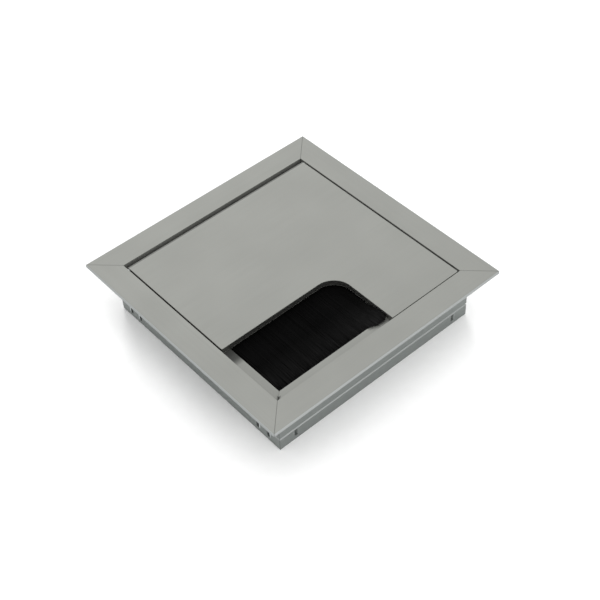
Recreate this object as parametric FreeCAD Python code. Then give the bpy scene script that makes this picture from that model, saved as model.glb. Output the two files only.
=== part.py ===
"""Square aluminium desk grommet with a hinged, notched lid and a brush strip.

Units are millimetres. The origin is the centre of the grommet on the desk surface, which is the underside of
the flange. +Z is up, +Y points to the hinge at the back, and the notch is in the lid's front left corner.
"""

import FreeCAD, Part
import math
import os

Vector = FreeCAD.Vector
UP = Vector(0, 0, 1)
CENTRE = Vector(0, 0, 0)

# Frame: four mitred lengths of one hollow extrusion.
FLANGE_SIZE = 80.0            # across the flange
FLANGE_THICK = 1.0
FLANGE_TIP_RADIUS = 0.7       # rounding of the flange's four sharp tips, seen from above
FLANGE_CHAMFER = 0.35         # under the flange's outer edge
BODY_SIZE = 68.2              # across the body that drops into the desk's cut-out
BODY_DEPTH = 16.25            # below the desk surface
RECESS_SIZE = 64.75           # square opening that the lid lies in
LEDGE_SIZE = 58.4             # clear opening inside the ledge that the lid rests on
LEDGE_DROP = 1.9              # from the flange's top face to the ledge
WALL = 1.2                    # outer wall, inner wall, ledge and floor of the extrusion
MID_WEB = 1.0                 # web between the upper chamber and the key chamber
KEY_CHAMBER_HEIGHT = 7.15
CHAMBER_RADIUS = 0.1          # inside corners of both chambers
MITRE_GAP = 0.04              # hairline left between two mitred faces
GROOVE_Z = -12.0              # middle of the small V groove round the body
GROOVE_HEIGHT = 0.7
GROOVE_DEPTH = 0.35

# Corner keys: a cast L in the lower chamber of each corner, held by crimps in the outer wall.
KEY_LEG = 13.0
KEY_PLAY = 0.1                # between the key's sides and the chamber
KEY_PLAY_Z = 0.05
KEY_TIP_CHAMFER = 0.5
CRIMP_Z = -13.6
CRIMP_HEIGHT = 2.3
CRIMP_WIDTH = 1.0
CRIMP_DEPTH = 0.9
CRIMP_TOOTH = 0.5             # how far the pushed-in metal stands into the key's pocket
POCKET_PLAY = 0.15
SIDE_CRIMPS = (25.4, 29.6)    # along the left and right bars, from the middle
END_CRIMPS = (28.6,)          # along the front and back bars, from the middle

# Lid.
LID_THICK = 1.8
LID_RECESS = 0.1              # below the flange's top face
LID_SIDE_GAP = 0.45
LID_FRONT_GAP = 0.25
LID_TIP_RADIUS = 0.35
LID_EDGE_RADIUS = 0.15
NOTCH_X = 7.35                # right edge of the notch
NOTCH_Y = -9.95               # back edge of the notch
NOTCH_RADIUS = 6.0
NOSE_RADIUS = 0.8             # rounded back edge of the lid, centred on the hinge line
NOSE_TAPER = 0.6

# Hinge: a pin pressed into each side edge of the lid, running in a blind bore in the frame.
HINGE_Y = 30.6
PIN_RADIUS = 0.5
PIN_IN_LID = 3.2
BORE_RADIUS = 0.55
BORE_DEPTH = 1.3
PIN_END_PLAY = 0.1

# Brush strip, glued under the lid along the notch's back edge.
BRUSH_X_MIN = -28.5
BRUSH_X_MAX = 8.3
TAPE_THICK = 0.3
CHANNEL_MOUTH_Y = -9.3
CHANNEL_DEPTH = 3.7           # from the mouth to the back of the channel
CHANNEL_HEIGHT = 3.2
CHANNEL_SHEET = 0.4
CHANNEL_BEND = 0.7
WIRE_RADIUS = 0.45
WIRE_FROM_BACK = 0.75         # from the channel's inner back face to the middle of the wire
BRISTLE_TIP_Y = -19.4         # end of the stiff part of the bristles
BRISTLE_TIP_DROP = 1.2        # how far that end hangs below the channel's mouth
BRISTLE_TIP_HEIGHT = 2.2

FLANGE_HALF = FLANGE_SIZE / 2
BODY_HALF = BODY_SIZE / 2
RECESS_HALF = RECESS_SIZE / 2
LEDGE_HALF = LEDGE_SIZE / 2
TOP_Z = FLANGE_THICK
LEDGE_Z = TOP_Z - LEDGE_DROP
BOTTOM_Z = -BODY_DEPTH
CHAMBER_INNER = LEDGE_HALF + WALL
CHAMBER_OUTER = BODY_HALF - WALL
KEY_CHAMBER_FLOOR = BOTTOM_Z + WALL
KEY_CHAMBER_ROOF = KEY_CHAMBER_FLOOR + KEY_CHAMBER_HEIGHT
LID_TOP = TOP_Z - LID_RECESS
LID_UNDERSIDE = LID_TOP - LID_THICK
LID_HALF_WIDTH = RECESS_HALF - LID_SIDE_GAP
LID_FRONT_Y = -RECESS_HALF + LID_FRONT_GAP
HINGE_Z = (LID_TOP + LID_UNDERSIDE) / 2
CHANNEL_TOP = LID_UNDERSIDE - TAPE_THICK
CHANNEL_BACK_Y = CHANNEL_MOUTH_Y + CHANNEL_DEPTH
BRUSH_LENGTH = BRUSH_X_MAX - BRUSH_X_MIN


def rounded_face(corners, to_space):
    """A flat face whose corners (a, b, radius) are joined by straight runs and tangent arcs."""
    bends = []
    for number, (a, b, radius) in enumerate(corners):
        here = Vector(a, b, 0)
        before = Vector(*corners[number - 1][:2], 0)
        after = Vector(*corners[(number + 1) % len(corners)][:2], 0)
        back = (before - here).normalize()
        ahead = (after - here).normalize()
        if not radius:
            bends.append((here, None, here))
            continue
        half = back.getAngle(ahead) / 2
        reach = radius / math.tan(half)
        middle = here + (back + ahead).normalize() * (radius / math.sin(half) - radius)
        bends.append((here + back * reach, middle, here + ahead * reach))
    edges = []
    for number, (start, middle, end) in enumerate(bends):
        if middle is not None:
            edges.append(Part.Arc(to_space(start), to_space(middle), to_space(end)).toShape())
        next_start = bends[(number + 1) % len(bends)][0]
        edges.append(Part.LineSegment(to_space(end), to_space(next_start)).toShape())
    return Part.Face(Part.Wire(edges))


def plan_view(z):
    """Maps (a, b) to (x, y) at height z."""
    return lambda point: Vector(point.x, point.y, z)


def front_section(x):
    """Maps (distance in front of the centre, height) to a section across the front bar at x."""
    return lambda point: Vector(x, -point.x, point.y)


def side_section(x):
    """Maps (y, height) to a section across the lid or the brush at x."""
    return lambda point: Vector(x, point.x, point.y)


def upright_prism(corners, z_low, z_high):
    """An upright prism on a plan outline."""
    return rounded_face(corners, plan_view(z_low)).extrude(UP * (z_high - z_low))


def bar_section(x):
    """Section of the frame extrusion: flange, recess wall, ledge, and two closed chambers."""
    groove_low = GROOVE_Z - GROOVE_HEIGHT / 2
    groove_high = GROOVE_Z + GROOVE_HEIGHT / 2
    outline = [
        (RECESS_HALF, TOP_Z, 0.12),
        (FLANGE_HALF, TOP_Z, 0.4),
        (FLANGE_HALF, FLANGE_CHAMFER, 0.1),
        (FLANGE_HALF - FLANGE_CHAMFER, 0.0, 0.1),
        (BODY_HALF, 0.0, 0.0),
        (BODY_HALF, groove_high, 0.0),
        (BODY_HALF - GROOVE_DEPTH, GROOVE_Z, 0.0),
        (BODY_HALF, groove_low, 0.0),
        (BODY_HALF, BOTTOM_Z, 0.25),
        (LEDGE_HALF, BOTTOM_Z, 0.25),
        (LEDGE_HALF, LEDGE_Z, 0.12),
        (RECESS_HALF, LEDGE_Z, 0.0),
    ]
    section = rounded_face(outline, front_section(x))
    upper_roof = LEDGE_Z - WALL
    upper_floor = KEY_CHAMBER_ROOF + MID_WEB
    for floor, roof in ((upper_floor, upper_roof), (KEY_CHAMBER_FLOOR, KEY_CHAMBER_ROOF)):
        chamber = [
            (CHAMBER_INNER, floor, CHAMBER_RADIUS),
            (CHAMBER_OUTER, floor, CHAMBER_RADIUS),
            (CHAMBER_OUTER, roof, CHAMBER_RADIUS),
            (CHAMBER_INNER, roof, CHAMBER_RADIUS),
        ]
        section = section.cut(rounded_face(chamber, front_section(x)))
    return section.Faces[0]


def crimp_dent(along):
    """The wedge that the crimping punch leaves in the outer wall of the front bar."""
    corners = [
        (along - CRIMP_WIDTH / 2, -BODY_HALF, 0.0),
        (along + CRIMP_WIDTH / 2, -BODY_HALF, 0.0),
        (along, -BODY_HALF + CRIMP_DEPTH, 0.0),
    ]
    return upright_prism(corners, CRIMP_Z - CRIMP_HEIGHT / 2, CRIMP_Z + CRIMP_HEIGHT / 2)


def crimp_tooth(along):
    """The metal that the punch pushes out of the front bar's wall into the key's pocket."""
    corners = [
        (along - CRIMP_WIDTH / 2, -CHAMBER_OUTER, 0.0),
        (along + CRIMP_WIDTH / 2, -CHAMBER_OUTER, 0.0),
        (along, -CHAMBER_OUTER + CRIMP_TOOTH, 0.0),
    ]
    return upright_prism(corners, CRIMP_Z - CRIMP_HEIGHT / 2, CRIMP_Z + CRIMP_HEIGHT / 2)


def crimped_bar(crimps):
    """One mitred length of the extrusion, lying along the front, with crimps near both ends."""
    bar = bar_section(-FLANGE_HALF).extrude(Vector(FLANGE_SIZE, 0, 0))
    setback = MITRE_GAP / 2 * math.sqrt(2)
    reach = FLANGE_HALF + 1
    mitres = [(0, -setback, 0), (-reach + setback, -reach, 0), (reach - setback, -reach, 0)]
    bar = bar.common(upright_prism(mitres, BOTTOM_Z - 1, TOP_Z + 1))
    tips = [(sx * FLANGE_HALF, sy * FLANGE_HALF, FLANGE_TIP_RADIUS)
            for sx, sy in ((-1, -1), (1, -1), (1, 1), (-1, 1))]
    bar = bar.common(upright_prism(tips, BOTTOM_Z - 1, TOP_Z + 1))
    for along in [side * place for place in crimps for side in (-1, 1)]:
        bar = bar.cut(crimp_dent(along)).fuse(crimp_tooth(along))
    return bar.removeSplitter()


def turned(shape, degrees):
    """A copy of the shape, turned about the vertical axis through the centre."""
    copy = shape.copy()
    copy.rotate(CENTRE, UP, degrees)
    return copy


def hinge_bore(side):
    """Blind bore for a hinge pin in the recess wall of the left (-1) or right (1) bar."""
    mouth = Vector(side * (RECESS_HALF - 1), HINGE_Y, HINGE_Z)
    return Part.makeCylinder(BORE_RADIUS, BORE_DEPTH + 1, mouth, Vector(side, 0, 0))


def frame_bars():
    """The four bars of the frame; the side bars carry the hinge bores."""
    end_bar = crimped_bar(END_CRIMPS)
    side_bar = crimped_bar(SIDE_CRIMPS)
    return {
        "frame_front": end_bar,
        "frame_back": turned(end_bar, 180),
        "frame_left": turned(side_bar, -90).cut(hinge_bore(-1)),
        "frame_right": turned(side_bar, 90).cut(hinge_bore(1)),
    }


def corner_key():
    """The front left corner key, with a pocket for each crimp tooth."""
    outer = -CHAMBER_OUTER + KEY_PLAY
    inner = -CHAMBER_INNER - KEY_PLAY
    end = outer + KEY_LEG
    outline = [
        (outer, outer, 0.4),
        (end, outer, KEY_TIP_CHAMFER),
        (end, inner, KEY_TIP_CHAMFER),
        (inner, inner, 0.4),
        (inner, end, KEY_TIP_CHAMFER),
        (outer, end, KEY_TIP_CHAMFER),
    ]
    key = upright_prism(outline, KEY_CHAMBER_FLOOR + KEY_PLAY_Z, KEY_CHAMBER_ROOF - KEY_PLAY_Z)
    width = CRIMP_WIDTH + 2 * POCKET_PLAY
    height = CRIMP_HEIGHT + 2 * POCKET_PLAY
    depth = CRIMP_TOOTH + POCKET_PLAY
    pocket_z = CRIMP_Z - height / 2
    for along in END_CRIMPS:
        corner = Vector(-along - width / 2, -CHAMBER_OUTER, pocket_z)
        key = key.cut(Part.makeBox(width, depth, height, corner))
    for along in SIDE_CRIMPS:
        corner = Vector(-CHAMBER_OUTER, -along - width / 2, pocket_z)
        key = key.cut(Part.makeBox(depth, width, height, corner))
    return key


def corner_keys():
    """The four corner keys: the front left one and its mirror images."""
    front_left = corner_key()
    front_right = front_left.mirror(CENTRE, Vector(1, 0, 0))
    return {
        "corner_key_front_left": front_left,
        "corner_key_front_right": front_right,
        "corner_key_back_left": front_left.mirror(CENTRE, Vector(0, 1, 0)),
        "corner_key_back_right": front_right.mirror(CENTRE, Vector(0, 1, 0)),
    }


def lid_nose():
    """The rounded back edge, a little thinner than the plate so that it turns clear of the ledge."""
    x = -LID_HALF_WIDTH
    place = side_section(x)
    start = HINGE_Y - NOSE_TAPER
    top = place(Vector(HINGE_Y, HINGE_Z + NOSE_RADIUS, 0))
    tip = place(Vector(HINGE_Y + NOSE_RADIUS, HINGE_Z, 0))
    bottom = place(Vector(HINGE_Y, HINGE_Z - NOSE_RADIUS, 0))
    plate_top = place(Vector(start, LID_TOP, 0))
    plate_bottom = place(Vector(start, LID_UNDERSIDE, 0))
    edges = [
        Part.LineSegment(plate_top, top).toShape(),
        Part.Arc(top, tip, bottom).toShape(),
        Part.LineSegment(bottom, plate_bottom).toShape(),
        Part.LineSegment(plate_bottom, plate_top).toShape(),
    ]
    return Part.Face(Part.Wire(edges)).extrude(Vector(2 * LID_HALF_WIDTH, 0, 0))


def lid_plate():
    """The notched lid with softened top edges, a rounded back edge and two pin holes."""
    back = HINGE_Y - NOSE_TAPER
    outline = [
        (NOTCH_X, LID_FRONT_Y, LID_TIP_RADIUS),
        (LID_HALF_WIDTH, LID_FRONT_Y, LID_TIP_RADIUS),
        (LID_HALF_WIDTH, back, 0.0),
        (-LID_HALF_WIDTH, back, 0.0),
        (-LID_HALF_WIDTH, NOTCH_Y, LID_TIP_RADIUS),
        (NOTCH_X, NOTCH_Y, NOTCH_RADIUS),
    ]
    plate = upright_prism(outline, LID_UNDERSIDE, LID_TOP)
    top_edges = [edge for edge in plate.Edges
                 if edge.BoundBox.ZMin > LID_TOP - 0.01 and edge.BoundBox.YMin < back - 0.01]
    plate = plate.makeFillet(LID_EDGE_RADIUS, top_edges)
    plate = plate.fuse(lid_nose())
    for side in (-1, 1):
        mouth = Vector(side * LID_HALF_WIDTH, HINGE_Y, HINGE_Z)
        plate = plate.cut(Part.makeCylinder(PIN_RADIUS, PIN_IN_LID, mouth, Vector(-side, 0, 0)))
    return plate


def hinge_pin(side):
    """A steel pin pressed into the lid, with rounded ends, reaching into the frame's bore."""
    inner_end = LID_HALF_WIDTH - PIN_IN_LID
    outer_end = RECESS_HALF + BORE_DEPTH - PIN_END_PLAY
    foot = Vector(side * inner_end, HINGE_Y, HINGE_Z)
    pin = Part.makeCylinder(PIN_RADIUS, outer_end - inner_end, foot, Vector(side, 0, 0))
    rims = [edge for edge in pin.Edges if edge.BoundBox.XLength < 0.01]
    return pin.makeChamfer(0.12, rims)


def brush_tape():
    """Adhesive strip between the brush's channel and the lid's underside."""
    corner = Vector(BRUSH_X_MIN, CHANNEL_MOUTH_Y, CHANNEL_TOP)
    return Part.makeBox(BRUSH_LENGTH, CHANNEL_DEPTH, TAPE_THICK, corner)


def brush_channel():
    """Folded steel channel that pinches the bristles, open towards the front."""
    low = CHANNEL_TOP - CHANNEL_HEIGHT
    outside = [
        (CHANNEL_MOUTH_Y, low, 0.0),
        (CHANNEL_BACK_Y, low, CHANNEL_BEND),
        (CHANNEL_BACK_Y, CHANNEL_TOP, CHANNEL_BEND),
        (CHANNEL_MOUTH_Y, CHANNEL_TOP, 0.0),
        (CHANNEL_MOUTH_Y, CHANNEL_TOP - CHANNEL_SHEET, 0.0),
        (CHANNEL_BACK_Y - CHANNEL_SHEET, CHANNEL_TOP - CHANNEL_SHEET, CHANNEL_BEND - CHANNEL_SHEET),
        (CHANNEL_BACK_Y - CHANNEL_SHEET, low + CHANNEL_SHEET, CHANNEL_BEND - CHANNEL_SHEET),
        (CHANNEL_MOUTH_Y, low + CHANNEL_SHEET, 0.0),
    ]
    return rounded_face(outside, side_section(BRUSH_X_MIN)).extrude(Vector(BRUSH_LENGTH, 0, 0))


def core_wire():
    """The wire that the bristles are folded round, inside the channel."""
    y = CHANNEL_BACK_Y - CHANNEL_SHEET - WIRE_FROM_BACK
    z = CHANNEL_TOP - CHANNEL_HEIGHT / 2
    return Part.makeCylinder(WIRE_RADIUS, BRUSH_LENGTH, Vector(BRUSH_X_MIN, y, z), Vector(1, 0, 0))


def brush_bristles():
    """The bristles' folded roots and their stiff part, which leaves the front of the notch free for cables."""
    low = CHANNEL_TOP - CHANNEL_HEIGHT + CHANNEL_SHEET
    high = CHANNEL_TOP - CHANNEL_SHEET
    back = CHANNEL_BACK_Y - CHANNEL_SHEET
    tip_low = low - BRISTLE_TIP_DROP
    outline = [
        (back, low, CHANNEL_BEND - CHANNEL_SHEET),
        (back, high, CHANNEL_BEND - CHANNEL_SHEET),
        (CHANNEL_MOUTH_Y, high, 0.0),
        (BRISTLE_TIP_Y, tip_low + BRISTLE_TIP_HEIGHT, 0.0),
        (BRISTLE_TIP_Y, tip_low, 0.0),
        (CHANNEL_MOUTH_Y, low, 0.0),
    ]
    bundle = rounded_face(outline, side_section(BRUSH_X_MIN)).extrude(Vector(BRUSH_LENGTH, 0, 0))
    return bundle.cut(core_wire())


def build_parts():
    """Every piece of the grommet, by node name."""
    parts = {}
    parts.update(frame_bars())
    parts.update(corner_keys())
    parts["lid_plate"] = lid_plate()
    parts["hinge_pin_left"] = hinge_pin(-1)
    parts["hinge_pin_right"] = hinge_pin(1)
    parts["brush_tape"] = brush_tape()
    parts["brush_channel"] = brush_channel()
    parts["brush_core_wire"] = core_wire()
    parts["brush_bristles"] = brush_bristles()
    return parts


os.makedirs("parts", exist_ok=True)
for name, shape in build_parts().items():
    solid = shape.Solids[0]
    solid.exportStep(f"parts/{name}.step")
    print(f"{name:24s} solids {len(shape.Solids)} valid {solid.isValid()} volume {solid.Volume:9.2f} mm3")
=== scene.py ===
"""Looks of a square aluminium desk grommet: a mitred frame, a hinged and notched lid, and a brush strip.

Metres throughout, in the same frame as the fixed CAD nodes: +Z is up and +Y points to the lid's hinge.
"""

import logging
import math
import random
from dataclasses import dataclass
from enum import Enum
from typing import Any, Iterator, Sequence

import bmesh
import bpy
from mathutils import Matrix, Vector


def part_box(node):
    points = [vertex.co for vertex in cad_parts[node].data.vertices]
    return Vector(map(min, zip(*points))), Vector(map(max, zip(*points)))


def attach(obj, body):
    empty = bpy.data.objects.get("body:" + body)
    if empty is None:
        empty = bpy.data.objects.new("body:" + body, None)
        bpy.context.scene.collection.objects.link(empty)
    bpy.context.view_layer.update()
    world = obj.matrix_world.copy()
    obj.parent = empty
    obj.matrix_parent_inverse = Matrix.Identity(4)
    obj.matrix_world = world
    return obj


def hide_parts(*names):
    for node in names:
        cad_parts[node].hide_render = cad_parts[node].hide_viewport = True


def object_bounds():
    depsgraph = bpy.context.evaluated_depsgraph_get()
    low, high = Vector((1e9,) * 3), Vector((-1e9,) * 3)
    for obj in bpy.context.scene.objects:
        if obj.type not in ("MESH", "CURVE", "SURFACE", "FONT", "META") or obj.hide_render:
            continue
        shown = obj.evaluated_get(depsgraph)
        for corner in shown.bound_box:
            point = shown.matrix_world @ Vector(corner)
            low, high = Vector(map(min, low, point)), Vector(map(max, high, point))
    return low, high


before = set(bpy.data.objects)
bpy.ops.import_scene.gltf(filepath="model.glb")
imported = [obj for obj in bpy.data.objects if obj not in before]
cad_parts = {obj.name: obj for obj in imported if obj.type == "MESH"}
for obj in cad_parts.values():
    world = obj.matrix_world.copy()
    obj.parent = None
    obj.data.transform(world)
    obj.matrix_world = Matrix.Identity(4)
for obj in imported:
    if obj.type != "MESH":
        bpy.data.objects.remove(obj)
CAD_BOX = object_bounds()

MM = 0.001
LOG = logging.getLogger("desk_grommet")
Node = bpy.types.Node
Socket = bpy.types.NodeSocket
Tree = bpy.types.NodeTree

MATH = "ShaderNodeMath"
MIX = "ShaderNodeMix"
NOISE = "ShaderNodeTexNoise"
REMAP = "ShaderNodeMapRange"
MIX_COLOURS = {"data_type": "RGBA"}
SMOOTH = {"interpolation_type": "SMOOTHSTEP"}
# The sockets of a Mix node that are in use when it mixes colours.
SHARE, FIRST, SECOND, MIXED = 0, 6, 7, 2
# Nearly all values of a noise texture lie between these, and most of them between the second two.
NOISE_WIDE = (0.3, 0.7)
NOISE_NARROW = (0.35, 0.65)


class Along(Enum):
    """The direction that a bar was pushed through its die, a plate was rolled or a wire was drawn."""

    X = 0
    Y = 1


def linear(hex_colour: str) -> tuple[float, float, float]:
    """Turns an sRGB hex colour into linear light.

    Args:
        hex_colour: six hex digits after a "#".

    Returns:
        Red, green and blue.
    """
    channels = [int(hex_colour[i:i + 2], 16) / 255 for i in (1, 3, 5)]
    red, green, blue = (c / 12.92 if c <= 0.04045 else ((c + 0.055) / 1.055) ** 2.4 for c in channels)
    return red, green, blue


def feed(tree: Tree, node: Node, inputs: dict[str | int, Any]) -> None:
    """Sets or links a node's inputs.

    Args:
        tree: the material's node tree.
        node: the node whose inputs they are.
        inputs: for input sockets by name or number, a value, an output socket to link, or a node whose
            first output is linked.
    """
    for socket, value in inputs.items():
        if isinstance(value, Node):
            value = value.outputs[0]
        if isinstance(value, Socket):
            tree.links.new(value, node.inputs[socket])
        else:
            node.inputs[socket].default_value = value


def add_node(tree: Tree, kind: str, settings: dict[str, Any] | None = None,
             inputs: dict[str | int, Any] | None = None) -> Node:
    """Adds a node with its settings and links.

    Args:
        tree: the material's node tree.
        kind: the node's type name.
        settings: attributes to set on the node.
        inputs: what feeds its inputs, as for feed.

    Returns:
        The new node.
    """
    node = tree.nodes.new(kind)
    for name, value in (settings or {}).items():
        setattr(node, name, value)
    feed(tree, node, inputs or {})
    return node


@dataclass(frozen=True)
class Finish:
    """A surface finish, kept as one procedural material.

    Its name is the material's, its colour is an sRGB hex one, and its roughness is the middle of its range.
    """

    name: str
    colour: str
    roughness: float

    def material(self) -> bpy.types.Material:
        """Makes the finish's material, the first time that it is asked for.

        Returns:
            The material, which later calls give again.
        """
        found = bpy.data.materials.get(self.name)
        if found is not None:
            return found
        material = bpy.data.materials.new(self.name)
        material.use_nodes = True
        tree = material.node_tree
        tree.nodes.clear()
        shader = add_node(tree, "ShaderNodeBsdfPrincipled")
        add_node(tree, "ShaderNodeOutputMaterial", inputs={"Surface": shader})
        self.dress(tree, shader)
        return material

    def dress(self, tree: Tree, shader: Node) -> None:
        """Adds the finish's own grain to the shader.

        Args:
            tree: the material's node tree.
            shader: its Principled shader.
        """
        raise NotImplementedError

    def paint(self, hex_colour: str) -> tuple[float, float, float, float]:
        """A hex colour as an opaque linear one."""
        return (*linear(hex_colour), 1.0)


@dataclass(frozen=True)
class AnodisedAluminium(Finish):
    """Etched and clear anodised aluminium: an even, silky grey with faint lines along its working direction.

    The caustic etch before anodising gives the silky haze, and the die or the rollers leave the lines. Die
    lines and etch pits are a few micrometres wide, so both are drawn coarser than they are.
    """

    along: Along = Along.X
    shade: str = "#90918d"
    line_mm: float = 0.22
    line_length_mm: float = 45.0
    line_depth_mm: float = 0.0006
    etch_mm: float = 0.16
    etch_share: float = 0.6
    cloud_mm: float = 14.0
    tone_range: tuple[float, float] = (1.0, 1.6)
    skin_range: tuple[float, float] = (0.55, 1.05)
    roughness_spread: tuple[float, float] = (-0.03, 0.04)

    def dress(self, tree: Tree, shader: Node) -> None:
        """Adds the lines, the etched grain and slow clouds, then the piece's own marks.

        Args:
            tree: the material's node tree.
            shader: its Principled shader.
        """
        place = add_node(tree, "ShaderNodeTexCoord").outputs["Object"]
        scale = [1 / (self.line_mm * MM)] * 3
        scale[self.along.value] = 1 / (self.line_length_mm * MM)
        drawn = add_node(tree, "ShaderNodeMapping", inputs={"Vector": place, "Scale": scale})
        lines = add_node(tree, NOISE, inputs={"Vector": drawn, "Scale": 1.0, "Detail": 3.0})
        etch = add_node(tree, NOISE, inputs={
            "Vector": place, "Scale": 1 / (self.etch_mm * MM), "Detail": 2.0})
        clouds = add_node(tree, NOISE, inputs={
            "Vector": place, "Scale": 1 / (self.cloud_mm * MM), "Detail": 1.0})
        skin = add_node(tree, MATH, {"operation": "MULTIPLY_ADD"}, {0: etch, 1: self.etch_share, 2: lines})
        tone = add_node(tree, MATH, {"operation": "ADD"}, {0: skin, 1: clouds})
        factor = add_node(tree, REMAP, inputs={
            "Value": tone, "From Min": self.tone_range[0], "From Max": self.tone_range[1]})
        colour = add_node(tree, MIX, MIX_COLOURS, {
            SHARE: factor, FIRST: self.paint(self.shade), SECOND: self.paint(self.colour)})
        rough = add_node(tree, REMAP, inputs={
            "Value": skin, "From Min": self.skin_range[0], "From Max": self.skin_range[1],
            "To Min": self.roughness + self.roughness_spread[0],
            "To Max": self.roughness + self.roughness_spread[1]})
        colour, rough = self.mark(tree, place, colour.outputs[MIXED], rough.outputs[0])
        bump = add_node(tree, "ShaderNodeBump", inputs={"Height": skin, "Distance": self.line_depth_mm * MM})
        feed(tree, shader, {"Base Color": colour, "Roughness": rough, "Normal": bump, "Metallic": 1.0})

    def mark(self, tree: Tree, place: Socket, colour: Socket, rough: Socket) -> tuple[Socket, Socket]:
        """Adds what cutting, punching and use have left on this piece, and on the bars painted light and
        shade.

        Args:
            tree: the material's node tree.
            place: the place on the object.
            colour: the colour so far.
            rough: the roughness so far.

        Returns:
            The colour and the roughness with the marks.
        """
        raise NotImplementedError


@dataclass(frozen=True)
class ExtrudedBar(AnodisedAluminium):
    """Anodised extrusion, mitred and crimped after anodising.

    The ledge inside the recess is painted a little darker than the flange as painted shade, with the painted
    shadow of the lid's corner on the left. The outer walls below the desk are painted darker and bluer as
    painted shade, and the flange's rim and the groove are painted lighter as painted highlights. The sawn
    mitres show as thin dark lines, each with a burr at the recess's corner, and the crimps as dents with
    painted shade in them, each with a line scraped bare beside it. Shares of darkening and of bare metal run
    from 0 to 1, and heights are counted from the desk's surface.
    """

    # The colour of the dark mitre lines, and of the painted shade and painted shadow on the ledge and in the
    # crimps.
    grime_and_painted_shade: str = "#1c1d1d"
    # Painted shade: the outer walls below the desk are painted darker and bluer.
    wall_painted_shade: str = "#8e9290"
    below_desk_from: float = -0.1 * MM
    # Painted highlight on the flange's rim and on the groove.
    painted_highlight: str = "#a9acab"
    rim_from: float = 39.7 * MM
    groove_height: float = -12.05 * MM
    groove_half: float = 0.3 * MM
    bare_metal: str = "#dfe2e3"
    recess_half: float = 32.5 * MM
    recess_from: float = -0.45 * MM
    recess_fade: tuple[float, float] = (-4.0 * MM, -1.2 * MM)
    # Painted shade on the ledge in the recess, and the painted shadow of the lid's corner.
    recess_painted_shade: float = 0.02
    wedge_painted_shadow: float = 0.8
    wedge_front: tuple[float, float] = (-16.8 * MM, -13.2 * MM)
    wedge_back: tuple[float, float] = (-9.6 * MM, -6.0 * MM)
    mitre_half_width: float = 0.2 * MM
    mitre_dirt: float = 0.34
    burr_half_width: float = 0.9 * MM
    burr_from: float = 30.5 * MM
    burr_dirt: float = 0.95
    crimps: tuple[float, ...] = ()
    crimp_half_width: float = 0.75 * MM
    crimp_low: float = -14.95 * MM
    crimp_high: float = -12.25 * MM
    crimp_wall: float = 32.9 * MM
    crimp_core: float = 0.4
    # Painted shade in the crimps' dents.
    crimp_painted_shade: float = 0.05
    crimp_bare: float = 0.1
    scrape_offset: float = 0.7 * MM
    scrape_half_width: float = 0.22 * MM

    def mark(self, tree: Tree, place: Socket, colour: Socket, rough: Socket) -> tuple[Socket, Socket]:
        """Adds the painted shade of the outer walls and the painted highlights of the rim and the groove,
        then the dark mitre lines and the painted shade, then the scrapes beside the crimps.

        Args:
            tree: the material's node tree.
            place: the place on the object.
            colour: the colour so far.
            rough: the roughness so far.

        Returns:
            The colour with the marks, and the roughness as it was.
        """
        axes = add_node(tree, "ShaderNodeSeparateXYZ", inputs={0: place}).outputs
        across = [add_node(tree, MATH, {"operation": "ABSOLUTE"}, {0: axes[i]}) for i in (0, 1)]
        reach = add_node(tree, MATH, {"operation": "MAXIMUM"}, {0: across[0], 1: across[1]})
        recess = self.recess(tree, axes[2], reach)
        dent, scrape = self.crimped(tree, across, axes[2])
        # Painted shade on the outer walls, painted highlights on the rim and the groove.
        colour = self.toned(tree, axes[2], reach, colour)
        # Painted shade in the crimps' dents.
        in_crimp = add_node(tree, MATH, {"operation": "MULTIPLY"}, {0: dent, 1: self.crimp_painted_shade})
        # Painted shade on the ledge, with the painted shadow of the lid's corner.
        grime_and_painted_shade = self.on_ledge(tree, axes, recess)
        for more in (*self.in_mitre(tree, across, reach, recess), in_crimp):
            grime_and_painted_shade = add_node(tree, MATH, {"operation": "MAXIMUM"}, {0: grime_and_painted_shade, 1: more})
        colour = add_node(tree, MIX, MIX_COLOURS, {SHARE: grime_and_painted_shade, FIRST: colour, SECOND: self.paint(self.grime_and_painted_shade)})
        bare = add_node(tree, MATH, {"operation": "MULTIPLY"}, {0: scrape, 1: self.crimp_bare})
        colour = add_node(tree, MIX, MIX_COLOURS, {
            SHARE: bare, FIRST: colour.outputs[MIXED], SECOND: self.paint(self.bare_metal)})
        return colour.outputs[MIXED], rough

    def recess(self, tree: Tree, height: Socket, reach: Node) -> Node:
        """Masks the ledge inside the recess, fading out down the inner wall.

        Args:
            tree: the material's node tree.
            height: the height on the object.
            reach: the larger of the distances from the middle along X and along Y.

        Returns:
            The node that gives the mask.
        """
        below = add_node(tree, MATH, {"operation": "LESS_THAN"}, {0: height, 1: self.recess_from})
        inside = add_node(tree, MATH, {"operation": "LESS_THAN"}, {0: reach, 1: self.recess_half})
        fade = add_node(tree, REMAP, inputs={
            "Value": height, "From Min": self.recess_fade[0], "From Max": self.recess_fade[1]})
        both = add_node(tree, MATH, {"operation": "MULTIPLY"}, {0: below, 1: inside})
        return add_node(tree, MATH, {"operation": "MULTIPLY"}, {0: both, 1: fade})

    def toned(self, tree: Tree, height: Socket, reach: Node, colour: Socket) -> Socket:
        """Paints shade on the outer walls, and highlights on the flange's rim and the groove.

        Args:
            tree: the material's node tree.
            height: the height on the object.
            reach: the larger of the distances from the middle along X and along Y.
            colour: the colour so far.

        Returns:
            The colour with the tones.
        """
        below = add_node(tree, MATH, {"operation": "LESS_THAN"}, {0: height, 1: self.below_desk_from})
        outside = add_node(tree, MATH, {"operation": "GREATER_THAN"}, {0: reach, 1: self.recess_half})
        below = add_node(tree, MATH, {"operation": "MULTIPLY"}, {0: below, 1: outside})
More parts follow.
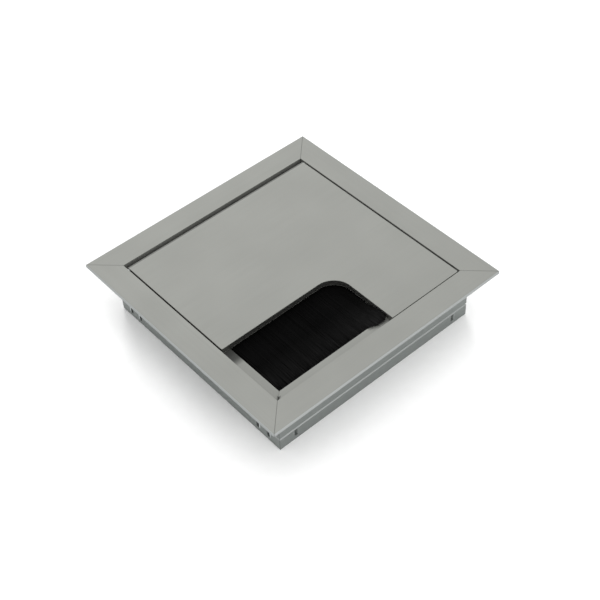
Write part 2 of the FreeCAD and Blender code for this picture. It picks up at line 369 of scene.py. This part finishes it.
        # Painted shade on the outer walls.
        shaded_walls = add_node(tree, MIX, MIX_COLOURS, {
            SHARE: below, FIRST: colour, SECOND: self.paint(self.wall_painted_shade)})
        # The painted highlight on the flange's rim and on the groove.
        rim = add_node(tree, MATH, {"operation": "GREATER_THAN"}, {0: reach, 1: self.rim_from})
        groove = add_node(tree, MATH, {"operation": "COMPARE"}, {
            0: height, 1: self.groove_height, 2: self.groove_half})
        groove = add_node(tree, MATH, {"operation": "MULTIPLY"}, {0: groove, 1: outside})
        painted_highlight = add_node(tree, MATH, {"operation": "MAXIMUM"}, {0: rim, 1: groove})
        return add_node(tree, MIX, MIX_COLOURS, {
            SHARE: painted_highlight, FIRST: shaded_walls.outputs[MIXED], SECOND: self.paint(self.painted_highlight)}).outputs[MIXED]

    def on_ledge(self, tree: Tree, axes: Sequence[Socket], recess: Node) -> Node:
        """Paints even shade on the ledge, and the painted shadow of the lid's corner as a dark wedge on the
        left.

        Args:
            tree: the material's node tree.
            axes: the places along X, Y and Z.
            recess: the mask of the ledge.

        Returns:
            The node that gives the share of painted shade.
        """
        # The painted shadow of the lid's corner: a dark wedge on the left ledge.
        wedge = add_node(tree, REMAP, SMOOTH, {
            "Value": axes[1], "From Min": self.wedge_front[0], "From Max": self.wedge_front[1],
            "To Min": 0.0, "To Max": self.wedge_painted_shadow})
        fade = add_node(tree, REMAP, SMOOTH, {
            "Value": axes[1], "From Min": self.wedge_back[0], "From Max": self.wedge_back[1],
            "To Min": 1.0, "To Max": 0.0})
        wedge = add_node(tree, MATH, {"operation": "MULTIPLY"}, {0: wedge, 1: fade})
        on_left = add_node(tree, MATH, {"operation": "LESS_THAN"}, {0: axes[0], 1: 0.0})
        wedge = add_node(tree, MATH, {"operation": "MULTIPLY"}, {0: wedge, 1: on_left})
        # Even painted shade on the rest of the ledge.
        grime_and_painted_shade = add_node(tree, MATH, {"operation": "MAXIMUM"}, {0: wedge, 1: self.recess_painted_shade})
        return add_node(tree, MATH, {"operation": "MULTIPLY"}, {0: recess, 1: grime_and_painted_shade})

    def in_mitre(self, tree: Tree, across: list[Node], reach: Node, recess: Node) -> tuple[Node, Node]:
        """Gives the mitre its thin dark line, and the wider one on its burr.

        Args:
            tree: the material's node tree.
            across: the distances from the middle along X and along Y.
            reach: the larger of the two.
            recess: the mask of the ledge.

        Returns:
            The nodes that give the two shares of darkening.
        """
        off = add_node(tree, MATH, {"operation": "SUBTRACT"}, {0: across[0], 1: across[1]})
        off = add_node(tree, MATH, {"operation": "ABSOLUTE"}, {0: off})
        mitre = add_node(tree, REMAP, inputs={
            "Value": off, "From Min": 0.0, "From Max": self.mitre_half_width,
            "To Min": self.mitre_dirt, "To Max": 0.0})
        burr = add_node(tree, REMAP, inputs={
            "Value": off, "From Min": 0.0, "From Max": self.burr_half_width,
            "To Min": self.burr_dirt, "To Max": 0.0})
        burr = add_node(tree, MATH, {"operation": "MULTIPLY"}, {0: burr, 1: recess})
        outer = add_node(tree, MATH, {"operation": "GREATER_THAN"}, {0: reach, 1: self.burr_from})
        burr = add_node(tree, MATH, {"operation": "MULTIPLY"}, {0: burr, 1: outer})
        return mitre, burr

    def crimped(self, tree: Tree, across: list[Node], height: Socket) -> tuple[Node, Node]:
        """Masks the crimps near both ends of the bar, and the scrape that the punch left beside each.

        Args:
            tree: the material's node tree.
            across: the distances from the middle along X and along Y.
            height: the height on the object.

        Returns:
            The nodes that give the two masks.
        """
        middle, half = (self.crimp_low + self.crimp_high) / 2, (self.crimp_high - self.crimp_low) / 2
        off = add_node(tree, MATH, {"operation": "SUBTRACT"}, {0: height, 1: middle})
        off = add_node(tree, MATH, {"operation": "ABSOLUTE"}, {0: off})
        level = add_node(tree, REMAP, SMOOTH, {
            "Value": off, "From Min": self.crimp_core * half, "From Max": half, "To Min": 1.0, "To Max": 0.0})
        on_wall = add_node(tree, MATH, {"operation": "GREATER_THAN"}, {
            0: across[1 - self.along.value], 1: self.crimp_wall})
        wall = add_node(tree, MATH, {"operation": "MULTIPLY"}, {0: level, 1: on_wall})
        lengthways = across[self.along.value]
        dents, scrapes = [], []
        for crimp in self.crimps:
            off = add_node(tree, MATH, {"operation": "SUBTRACT"}, {0: lengthways, 1: crimp})
            off = add_node(tree, MATH, {"operation": "ABSOLUTE"}, {0: off})
            dents.append(add_node(tree, REMAP, SMOOTH, {
                "Value": off, "From Min": self.crimp_core * self.crimp_half_width,
                "From Max": self.crimp_half_width, "To Min": 1.0, "To Max": 0.0}))
            scrapes.append(add_node(tree, MATH, {"operation": "COMPARE"}, {
                0: lengthways, 1: crimp + self.scrape_offset, 2: self.scrape_half_width}))
        masks = []
        for marks in (dents, scrapes):
            mask = marks[0]
            for other in marks[1:]:
                mask = add_node(tree, MATH, {"operation": "MAXIMUM"}, {0: mask, 1: other})
            masks.append(add_node(tree, MATH, {"operation": "MULTIPLY"}, {0: wall, 1: mask}))
        return masks[0], masks[1]


@dataclass(frozen=True)
class RolledPlate(AnodisedAluminium):
    """Anodised rolled plate with milled edges, which are smoother than its etched faces.

    The nose that turns in the frame's back recess is scuffed dull and grey.
    """

    line_mm: float = 0.3
    line_length_mm: float = 20.0
    cloud_mm: float = 18.0
    edge: str = "#959692"
    edge_roughness: float = 0.42
    face_height: float = 0.8 * MM
    nose: str = "#868784"
    nose_roughness: float = 0.85
    nose_from: float = 30.5 * MM

    def mark(self, tree: Tree, place: Socket, colour: Socket, rough: Socket) -> tuple[Socket, Socket]:
        """Adds the milled edges between the two faces, and the rubbed nose.

        Args:
            tree: the material's node tree.
            place: the place on the object.
            colour: the colour so far.
            rough: the roughness so far.

        Returns:
            The colour and the roughness with the marks.
        """
        axes = add_node(tree, "ShaderNodeSeparateXYZ", inputs={0: place}).outputs
        edge = add_node(tree, MATH, {"operation": "COMPARE"}, {0: axes[2], 1: 0.0, 2: self.face_height})
        nose = add_node(tree, MATH, {"operation": "GREATER_THAN"}, {0: axes[1], 1: self.nose_from})
        for mask, hex_colour, roughness in ((edge, self.edge, self.edge_roughness),
                                            (nose, self.nose, self.nose_roughness)):
            colour = add_node(tree, MIX, MIX_COLOURS, {
                SHARE: mask, FIRST: colour, SECOND: self.paint(hex_colour)}).outputs[MIXED]
            rough = add_node(tree, REMAP, inputs={
                "Value": mask, "To Min": rough, "To Max": roughness}).outputs[0]
        return colour, rough


@dataclass(frozen=True)
class DieCastZinc(Finish):
    """Zinc as it leaves the die: dull and faintly clouded, with a sandy skin."""

    shade: str = "#7d8083"
    skin_mm: float = 0.35
    skin_depth_mm: float = 0.01
    cloud_mm: float = 3.0
    roughness_spread: tuple[float, float] = (-0.08, 0.08)

    def dress(self, tree: Tree, shader: Node) -> None:
        """Adds the clouding and the sandy skin.

        Args:
            tree: the material's node tree.
            shader: its Principled shader.
        """
        place = add_node(tree, "ShaderNodeTexCoord").outputs["Object"]
        clouds = add_node(tree, NOISE, inputs={
            "Vector": place, "Scale": 1 / (self.cloud_mm * MM), "Detail": 3.0})
        skin = add_node(tree, NOISE, inputs={
            "Vector": place, "Scale": 1 / (self.skin_mm * MM), "Detail": 3.0})
        factor = add_node(tree, REMAP, inputs={
            "Value": clouds, "From Min": NOISE_NARROW[0], "From Max": NOISE_NARROW[1]})
        colour = add_node(tree, MIX, MIX_COLOURS, {
            SHARE: factor, FIRST: self.paint(self.shade), SECOND: self.paint(self.colour)})
        rough = add_node(tree, REMAP, inputs={
            "Value": skin, "From Min": NOISE_WIDE[0], "From Max": NOISE_WIDE[1],
            "To Min": self.roughness + self.roughness_spread[0],
            "To Max": self.roughness + self.roughness_spread[1]})
        bump = add_node(tree, "ShaderNodeBump", inputs={"Height": skin, "Distance": self.skin_depth_mm * MM})
        feed(tree, shader, {
            "Base Color": colour.outputs[MIXED], "Roughness": rough, "Normal": bump, "Metallic": 1.0})


@dataclass(frozen=True)
class DrawnSteel(Finish):
    """Drawn steel wire: long fine scratches along X, which stretch its highlights.

    The scratches of a die are a few micrometres wide, so they are drawn coarser than they are.
    """

    shade: str = "#8f9192"
    scratch_mm: float = 0.06
    scratch_length_mm: float = 4.0
    scratch_depth_mm: float = 0.002
    roughness_spread: tuple[float, float] = (-0.06, 0.1)

    def dress(self, tree: Tree, shader: Node) -> None:
        """Adds the drawing scratches.

        Args:
            tree: the material's node tree.
            shader: its Principled shader.
        """
        place = add_node(tree, "ShaderNodeTexCoord").outputs["Object"]
        scale = (1 / (self.scratch_length_mm * MM), 1 / (self.scratch_mm * MM), 1 / (self.scratch_mm * MM))
        drawn = add_node(tree, "ShaderNodeMapping", inputs={"Vector": place, "Scale": scale})
        scratches = add_node(tree, NOISE, inputs={"Vector": drawn, "Scale": 1.0, "Detail": 2.0})
        factor = add_node(tree, REMAP, inputs={
            "Value": scratches, "From Min": NOISE_NARROW[0], "From Max": NOISE_NARROW[1]})
        colour = add_node(tree, MIX, MIX_COLOURS, {
            SHARE: factor, FIRST: self.paint(self.shade), SECOND: self.paint(self.colour)})
        rough = add_node(tree, REMAP, inputs={
            "Value": scratches, "From Min": NOISE_WIDE[0], "From Max": NOISE_WIDE[1],
            "To Min": self.roughness + self.roughness_spread[0],
            "To Max": self.roughness + self.roughness_spread[1]})
        bump = add_node(tree, "ShaderNodeBump", inputs={
            "Height": scratches, "Distance": self.scratch_depth_mm * MM})
        feed(tree, shader, {
            "Base Color": colour.outputs[MIXED], "Roughness": rough, "Normal": bump, "Metallic": 1.0})


@dataclass(frozen=True)
class GalvanisedStrip(Finish):
    """Hot-dip galvanised strip: flat zinc spangles, each of which catches the light in its own way."""

    shade: str = "#84898d"
    spangle_mm: float = 1.3
    spangle_depth_mm: float = 0.003
    roughness_spread: tuple[float, float] = (-0.1, 0.1)

    def dress(self, tree: Tree, shader: Node) -> None:
        """Adds the spangles.

        Args:
            tree: the material's node tree.
            shader: its Principled shader.
        """
        place = add_node(tree, "ShaderNodeTexCoord").outputs["Object"]
        spangles = add_node(tree, "ShaderNodeTexVoronoi", inputs={
            "Vector": place, "Scale": 1 / (self.spangle_mm * MM)}).outputs
        level = add_node(tree, "ShaderNodeRGBToBW", inputs={0: spangles["Color"]})
        colour = add_node(tree, MIX, MIX_COLOURS, {
            SHARE: level, FIRST: self.paint(self.shade), SECOND: self.paint(self.colour)})
        rough = add_node(tree, REMAP, inputs={
            "Value": level, "To Min": self.roughness + self.roughness_spread[0],
            "To Max": self.roughness + self.roughness_spread[1]})
        bump = add_node(tree, "ShaderNodeBump", inputs={
            "Height": spangles["Distance"], "Distance": self.spangle_depth_mm * MM})
        feed(tree, shader, {
            "Base Color": colour.outputs[MIXED], "Roughness": rough, "Normal": bump, "Metallic": 1.0})


@dataclass(frozen=True)
class NylonBristle(Finish):
    """Extruded black nylon filaments: nearly matt, each a little different, with painted light on their tips,
    which are lighter where the lid no longer shades them.
    """

    # Painted light on the tips, in front of the lid's shade.
    painted_lit_tips: str = "#1f1f1f"
    strand_mm: float = 0.3
    strand_length_mm: float = 12.0
    strand_depth_mm: float = 0.01
    fully_lit_y: float = -28.5 * MM
    lid_shade_y: float = -19.0 * MM
    least_lit: float = 0.2
    roughness_spread: tuple[float, float] = (-0.08, 0.08)
    specular_level: float = 0.035

    def dress(self, tree: Tree, shader: Node) -> None:
        """Adds the difference between filaments and the painted light towards their tips.

        Args:
            tree: the material's node tree.
            shader: its Principled shader.
        """
        place = add_node(tree, "ShaderNodeTexCoord").outputs["Object"]
        scale = (1 / (self.strand_mm * MM), 1 / (self.strand_length_mm * MM), 1 / (self.strand_mm * MM))
        drawn = add_node(tree, "ShaderNodeMapping", inputs={"Vector": place, "Scale": scale})
        streaks = add_node(tree, NOISE, inputs={"Vector": drawn, "Scale": 1.0, "Detail": 1.0})
        along = add_node(tree, "ShaderNodeSeparateXYZ", inputs={0: place}).outputs[1]
        # Painted light: lighter towards the tips, where the lid's shade ends.
        tip_light = add_node(tree, REMAP, inputs={
            "Value": along, "From Min": self.fully_lit_y, "From Max": self.lid_shade_y, "To Min": 1.0, "To Max": 0.0})
        share = add_node(tree, REMAP, inputs={
            "Value": streaks, "From Min": NOISE_WIDE[0], "From Max": NOISE_WIDE[1],
            "To Min": self.least_lit, "To Max": 1.0})
        factor = add_node(tree, MATH, {"operation": "MULTIPLY"}, {0: tip_light, 1: share})
        colour = add_node(tree, MIX, MIX_COLOURS, {
            SHARE: factor, FIRST: self.paint(self.colour), SECOND: self.paint(self.painted_lit_tips)})
        rough = add_node(tree, REMAP, inputs={
            "Value": streaks, "From Min": NOISE_WIDE[0], "From Max": NOISE_WIDE[1],
            "To Min": self.roughness + self.roughness_spread[0],
            "To Max": self.roughness + self.roughness_spread[1]})
        bump = add_node(tree, "ShaderNodeBump", inputs={
            "Height": streaks, "Distance": self.strand_depth_mm * MM})
        feed(tree, shader, {"Base Color": colour.outputs[MIXED], "Roughness": rough, "Normal": bump,
                            "Specular IOR Level": self.specular_level})


@dataclass(frozen=True)
class FoamTape(Finish):
    """Black acrylic foam tape: matt, with the open cells of its cut edge."""

    cell: str = "#060606"
    cell_mm: float = 0.12
    cell_depth_mm: float = 0.03
    cell_reach: float = 0.5

    def dress(self, tree: Tree, shader: Node) -> None:
        """Adds the cells.

        Args:
            tree: the material's node tree.
            shader: its Principled shader.
        """
        place = add_node(tree, "ShaderNodeTexCoord").outputs["Object"]
        cells = add_node(tree, "ShaderNodeTexVoronoi", inputs={
            "Vector": place, "Scale": 1 / (self.cell_mm * MM)})
        factor = add_node(tree, REMAP, inputs={"Value": cells, "From Min": 0.0, "From Max": self.cell_reach})
        colour = add_node(tree, MIX, MIX_COLOURS, {
            SHARE: factor, FIRST: self.paint(self.cell), SECOND: self.paint(self.colour)})
        bump = add_node(tree, "ShaderNodeBump", inputs={
            "Height": cells, "Distance": self.cell_depth_mm * MM})
        feed(tree, shader, {
            "Base Color": colour.outputs[MIXED], "Normal": bump, "Roughness": self.roughness})


@dataclass(frozen=True)
class PaintedBoard(Finish):
    """A board painted matt white with a roller, which leaves an even tone with a trace of stipple."""

    shade: str = "#fbfbfb"
    stipple_mm: float = 2.5

    def dress(self, tree: Tree, shader: Node) -> None:
        """Adds the stipple.

        Args:
            tree: the material's node tree.
            shader: its Principled shader.
        """
        place = add_node(tree, "ShaderNodeTexCoord").outputs["Object"]
        stipple = add_node(tree, NOISE, inputs={
            "Vector": place, "Scale": 1 / (self.stipple_mm * MM), "Detail": 2.0})
        factor = add_node(tree, REMAP, inputs={
            "Value": stipple, "From Min": NOISE_WIDE[0], "From Max": NOISE_WIDE[1]})
        colour = add_node(tree, MIX, MIX_COLOURS, {
            SHARE: factor, FIRST: self.paint(self.shade), SECOND: self.paint(self.colour)})
        feed(tree, shader, {"Base Color": colour.outputs[MIXED], "Roughness": self.roughness})


def put_on(node: str, finish: Finish) -> None:
    """Gives a CAD node its finish.

    Args:
        node: the node's name.
        finish: what it is made of.
    """
    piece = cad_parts[node]
    piece.data.materials.clear()
    piece.data.materials.append(finish.material())
    LOG.info("%s wears %s", node, finish.name)


@dataclass
class MitredFrame:
    """The four mitred bars and the corner keys inside them."""

    colour: str = "#959692"
    roughness: float = 0.7
    end_crimps: tuple[float, ...] = (28.6 * MM,)
    side_crimps: tuple[float, ...] = (25.4 * MM, 29.6 * MM)
    # Painted shade on the side bars' ledges.
    side_recess_painted_shade: float = 0.13
    # Painted shade in the side bars' crimps.
    side_crimp_painted_shade: float = 0.65
    side_crimp_bare: float = 0.6
    zinc: DieCastZinc = DieCastZinc("die_cast_zinc", "#8d9093", 0.5)

    def build(self) -> None:
        """Dresses the bars, each with its lines along its own length, and the keys."""
        end_bar = ExtrudedBar("satin_anodised_extrusion_along_x", self.colour, self.roughness,
                              along=Along.X, crimps=self.end_crimps)
        side_bar = ExtrudedBar("satin_anodised_extrusion_along_y", self.colour, self.roughness,
                               along=Along.Y, crimps=self.side_crimps, recess_painted_shade=self.side_recess_painted_shade,
                               crimp_painted_shade=self.side_crimp_painted_shade, crimp_bare=self.side_crimp_bare)
        for end in ("front", "back"):
            put_on(f"frame_{end}", end_bar)
        for side in ("left", "right"):
            put_on(f"frame_{side}", side_bar)
        for end in ("front", "back"):
            for side in ("left", "right"):
                put_on(f"corner_key_{end}_{side}", self.zinc)


@dataclass
class NotchedLid:
    """The lid plate and its two hinge pins."""

    plate: RolledPlate = RolledPlate("satin_anodised_rolled_plate", "#959692", 0.7)
    pin: DrawnSteel = DrawnSteel("bright_drawn_steel", "#a9abac", 0.3)

    def build(self) -> None:
        """Dresses the plate and the pins."""
        put_on("lid_plate", self.plate)
        for side in ("left", "right"):
            put_on(f"hinge_pin_{side}", self.pin)


@dataclass
class BrushStrip:
    """The brush under the notch's back edge: channel, core wire, tape, and its black bristles.

    The bristles leave the channel in layers and sag towards the front. Those at the right end have been
    caught on the ledge by the closing lid: they lie on it in a rounded bunch, pressed up against the notch's
    end. The bunch is given as pairs of the place along the channel and the place of the tip there. The
    filaments are drawn thicker than real ones, of about 0.1 mm, so that fewer of them fill the strip.
    """

    strand_radius: float = 0.11 * MM
    tip_share: float = 0.45               # the tip's radius as a share of the strand's
    pitch: float = 0.19 * MM
    layers: int = 12
    points: int = 7                       # along each bristle, outside the channel
    margin: float = 0.6 * MM              # between the channel's outside and the bristles
    root_inset: float = 1.6 * MM
    wander: float = 0.35 * MM             # how far a tip strays sideways
    tip_y: float = -28.6 * MM
    tip_scatter: float = 0.45 * MM
    sag: tuple[float, float] = (2.0 * MM, 0.9 * MM)     # in the lowest and in the highest layer
    sag_power: int = 2
    bunch_layers: int = 6                 # the highest layers, which the lid has caught
    bunch_step: float = 0.06 * MM         # from one caught layer's tips up to the next one's
    bunch_stagger_mm: float = 0.1
    bunch_scatter_mm: float = 0.2
    lean_end: float = 0.6                 # the share of a bristle's length where it stops leaning
    climb_end: float = 0.9                # and where it lies on the ledge
    climb_power: int = 4
    bunch_mm: tuple[tuple[float, tuple[float, float, float]], ...] = (
        (-4.0, (-4.0, -28.65, -2.5)),
        (0.2, (0.2, -28.9, -1.8)),
        (1.6, (1.6, -29.7, -0.78)),
        (3.2, (3.0, -30.3, -0.72)),
        (4.8, (4.6, -30.7, -0.66)),
        (6.2, (6.1, -30.7, -0.5)),
        (7.2, (6.8, -30.3, -0.25)),
        (7.8, (7.05, -29.5, 0.15)),
        (8.3, (7.12, -28.4, 0.5)),
    )
    seed: int = 11
    nylon: NylonBristle = NylonBristle("black_nylon_filament", "#080808", 0.75)
    strip: GalvanisedStrip = GalvanisedStrip("galvanised_steel_strip", "#a3a8ab", 0.38)
    wire: DrawnSteel = DrawnSteel("galvanised_core_wire", "#a0a3a5", 0.4)
    tape: FoamTape = FoamTape("black_foam_tape", "#141414", 0.9)

    def __post_init__(self) -> None:
        """Reads the channel's place from the CAD."""
        self.channel_low, self.channel_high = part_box("brush_channel")

    def build(self) -> None:
        """Dresses the CAD pieces and makes the bristles."""
        put_on("brush_channel", self.strip)
        put_on("brush_core_wire", self.wire)
        put_on("brush_tape", self.tape)
        strands = self.strands()
        strands.data.materials.append(self.nylon.material())
        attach(strands, "lid")
        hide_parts("brush_bristles")
        LOG.info("%s has %d faces", strands.name, len(strands.data.polygons))

    def strands(self) -> bpy.types.Object:
        """Makes one closed tapered tube for each bristle, as a single mesh.

        Returns:
            The piece.
        """
        curve = bpy.data.curves.new("bristle_paths", "CURVE")
        curve.dimensions = "3D"
        curve.bevel_depth = self.strand_radius
        curve.bevel_resolution = 0
        curve.use_fill_caps = True
        for path in self.paths():
            spline = curve.splines.new("POLY")
            spline.points.add(len(path) - 1)
            for point, place in zip(spline.points, path):
                point.co = (*place, 1.0)
            spline.points[-1].radius = self.tip_share
        holder = bpy.data.objects.new("bristle_paths", curve)
        bpy.context.scene.collection.objects.link(holder)
        depsgraph = bpy.context.evaluated_depsgraph_get()
        mesh = bpy.data.meshes.new_from_object(holder.evaluated_get(depsgraph))
        bpy.data.objects.remove(holder)
        mesh.name = "brush_strands"
        piece = bpy.data.objects.new("brush_strands", mesh)
        bpy.context.scene.collection.objects.link(piece)
        return piece

    def paths(self) -> Iterator[list[Vector]]:
        """Draws the line of every bristle, from inside the channel to its tip.

        Returns:
            The bristles' lines one after another, each a list of points.
        """
        dice = random.Random(self.seed)
        low, high = self.channel_low, self.channel_high
        columns = int((high.x - low.x - 2 * self.strand_radius) / self.pitch)
        depth = high.z - low.z - 2 * self.margin
        for layer in range(self.layers):
            level = layer / (self.layers - 1)
            for column in range(columns):
                mouth = Vector((low.x + self.strand_radius + (column + dice.random()) * self.pitch, low.y,
                                low.z + self.margin + depth * level + dice.uniform(-0.5, 0.5) * self.pitch))
                sag = self.sag[0] + (self.sag[1] - self.sag[0]) * level
                free = Vector((mouth.x + dice.uniform(-1, 1) * self.wander,
                               self.tip_y + dice.random() * self.tip_scatter, mouth.z - sag))
                free.x = min(max(free.x, low.x), high.x)
                caught = self.caught(mouth, self.layers - 1 - layer, dice)
                yield self.sagging(mouth, free) if caught is None else self.pressed(mouth, caught)

    def caught(self, mouth: Vector, from_top: int, dice: random.Random) -> Vector | None:
        """Finds where a bristle of the bunch ends.

        Args:
            mouth: where it leaves the channel.
            from_top: its layer, counted from the highest.
            dice: the source of chance.

        Returns:
            The tip's place, or None for a bristle that isn't in the bunch.
        """
        chance = dice.random()
        stations = [(x * MM, Vector(tip) * MM) for x, tip in self.bunch_mm]
        if from_top >= self.bunch_layers or mouth.x < stations[0][0]:
            return None
        for (x_from, tip_from), (x_to, tip_to) in zip(stations, stations[1:]):
            if mouth.x <= x_to:
                tip = tip_from.lerp(tip_to, (mouth.x - x_from) / (x_to - x_from))
                break
        else:
            tip = stations[-1][1].copy()
        tip.y += (chance * self.bunch_scatter_mm + from_top * self.bunch_stagger_mm) * MM
        tip.z += (self.bunch_layers - 1 - from_top) * self.bunch_step
        return tip

    def sagging(self, mouth: Vector, tip: Vector) -> list[Vector]:
        """Draws a free bristle: straight out of the channel, then bending down more and more.

        Args:
            mouth: where it leaves the channel.
            tip: where it ends.

        Returns:
            Its points, the first of them inside the channel.
        """
        line = [mouth + Vector((0, self.root_inset, 0))]
        for number in range(self.points):
            share = number / (self.points - 1)
            bend = share ** self.sag_power
            line.append(Vector((mouth.x + (tip.x - mouth.x) * bend,
                                mouth.y + (tip.y - mouth.y) * share,
                                mouth.z + (tip.z - mouth.z) * bend)))
        return line

    def pressed(self, mouth: Vector, tip: Vector) -> list[Vector]:
        """Draws a bristle of the bunch: it leans sideways under the lid, then climbs on to the ledge.

        Args:
            mouth: where it leaves the channel.
            tip: where it ends.

        Returns:
            Its points, the first of them inside the channel.
        """
        line = [mouth + Vector((0, self.root_inset, 0))]
        for number in range(self.points):
            share = number / (self.points - 1)
            lean = min(1.0, share / self.lean_end)
            climb = min(1.0, share / self.climb_end) ** self.climb_power
            line.append(Vector((mouth.x + (tip.x - mouth.x) * lean,
                                mouth.y + (tip.y - mouth.y) * share,
                                mouth.z + (tip.z - mouth.z) * climb)))
        return line


@dataclass(frozen=True)
class SoftLight:
    """A large square diffuser that faces the grommet.

    Its azimuth is counted from +X towards +Y. The angles are in degrees, the power is in watts, and the
    distance and the size are in metres.
    """

    name: str
    azimuth: float
    elevation: float
    power: float
    distance: float
    size: float

    def place(self) -> None:
        """Hangs the diffuser."""
        data = bpy.data.lights.new(self.name, "AREA")
        data.shape = "SQUARE"
        data.size = self.size
        data.energy = self.power
        light = bpy.data.objects.new(self.name, data)
        bpy.context.scene.collection.objects.link(light)
        azimuth, elevation = math.radians(self.azimuth), math.radians(self.elevation)
        outward = Vector((math.cos(elevation) * math.cos(azimuth), math.cos(elevation) * math.sin(azimuth),
                          math.sin(elevation)))
        light.matrix_world = Matrix.Translation(outward * self.distance) @ (
            outward.to_track_quat("Z", "Y").to_matrix().to_4x4())


@dataclass
class Studio:
    """The floor, the soft light and the camera."""

    lights: tuple[SoftLight, ...] = (
        SoftLight("window", 60, 31, 27, 3.0, 1.0),
        SoftLight("front_fill", -90, 35, 18, 3.0, 1.0),
        SoftLight("overhead", 50, 89, 1.4, 0.8, 0.7),
    )
    floor_size: float = 4.0
    floor_gap: float = 0.02 * MM
    board: PaintedBoard = PaintedBoard("matt_white_paint", "#fdfdfd", 0.9)
    sky: str = "#ffffff"
    sky_strength: float = 1.0
    camera_place: Vector = Vector((-143.55, -181.10, 233.18)) * MM
    camera_target: Vector = Vector((-5.96, -10.83, 1.0)) * MM
    camera_roll: float = math.radians(-3.43)
    camera_lens: float = 72.43
    camera_clip: float = 0.01

    def build(self) -> None:
        """Makes the floor, the sky, the lights and the camera."""
        self.lay_floor()
        self.light_sky()
        for light in self.lights:
            light.place()
        self.place_camera()
        bpy.context.scene.view_settings.view_transform = "Standard"

    def lay_floor(self) -> None:
        """Lays a plain pale floor, a hair below the grommet so that no two faces share a plane."""
        mesh = bpy.data.meshes.new("floor")
        sheet = bmesh.new()
        bmesh.ops.create_grid(sheet, x_segments=1, y_segments=1, size=self.floor_size / 2,
                              matrix=Matrix.Translation((0, 0, CAD_BOX[0].z - self.floor_gap)))
        sheet.to_mesh(mesh)
        sheet.free()
        floor = bpy.data.objects.new("floor", mesh)
        bpy.context.scene.collection.objects.link(floor)
        floor.data.materials.append(self.board.material())

    def light_sky(self) -> None:
        """Makes an even white sky, like a light tent."""
        world = bpy.data.worlds.new("light_tent")
        world.use_nodes = True
        background = world.node_tree.nodes["Background"]
        background.inputs["Color"].default_value = (*linear(self.sky), 1.0)
        background.inputs["Strength"].default_value = self.sky_strength
        bpy.context.scene.world = world

    def place_camera(self) -> None:
        """Sets a camera above the front left corner."""
        data = bpy.data.cameras.new("camera")
        data.lens = self.camera_lens
        data.clip_start = self.camera_clip
        camera = bpy.data.objects.new("camera", data)
        bpy.context.scene.collection.objects.link(camera)
        facing = (self.camera_target - self.camera_place).to_track_quat("-Z", "Y").to_matrix().to_4x4()
        roll = Matrix.Rotation(self.camera_roll, 4, "Z")
        camera.matrix_world = Matrix.Translation(self.camera_place) @ facing @ roll
        bpy.context.scene.camera = camera


def main() -> None:
    """Builds the sub-assemblies in order."""
    logging.basicConfig(level=logging.INFO, format="%(name)s: %(message)s")
    for assembly in (Studio(), MitredFrame(), NotchedLid(), BrushStrip()):
        LOG.info("building %s", type(assembly).__name__)
        assembly.build()


if __name__ == "__main__":
    main()
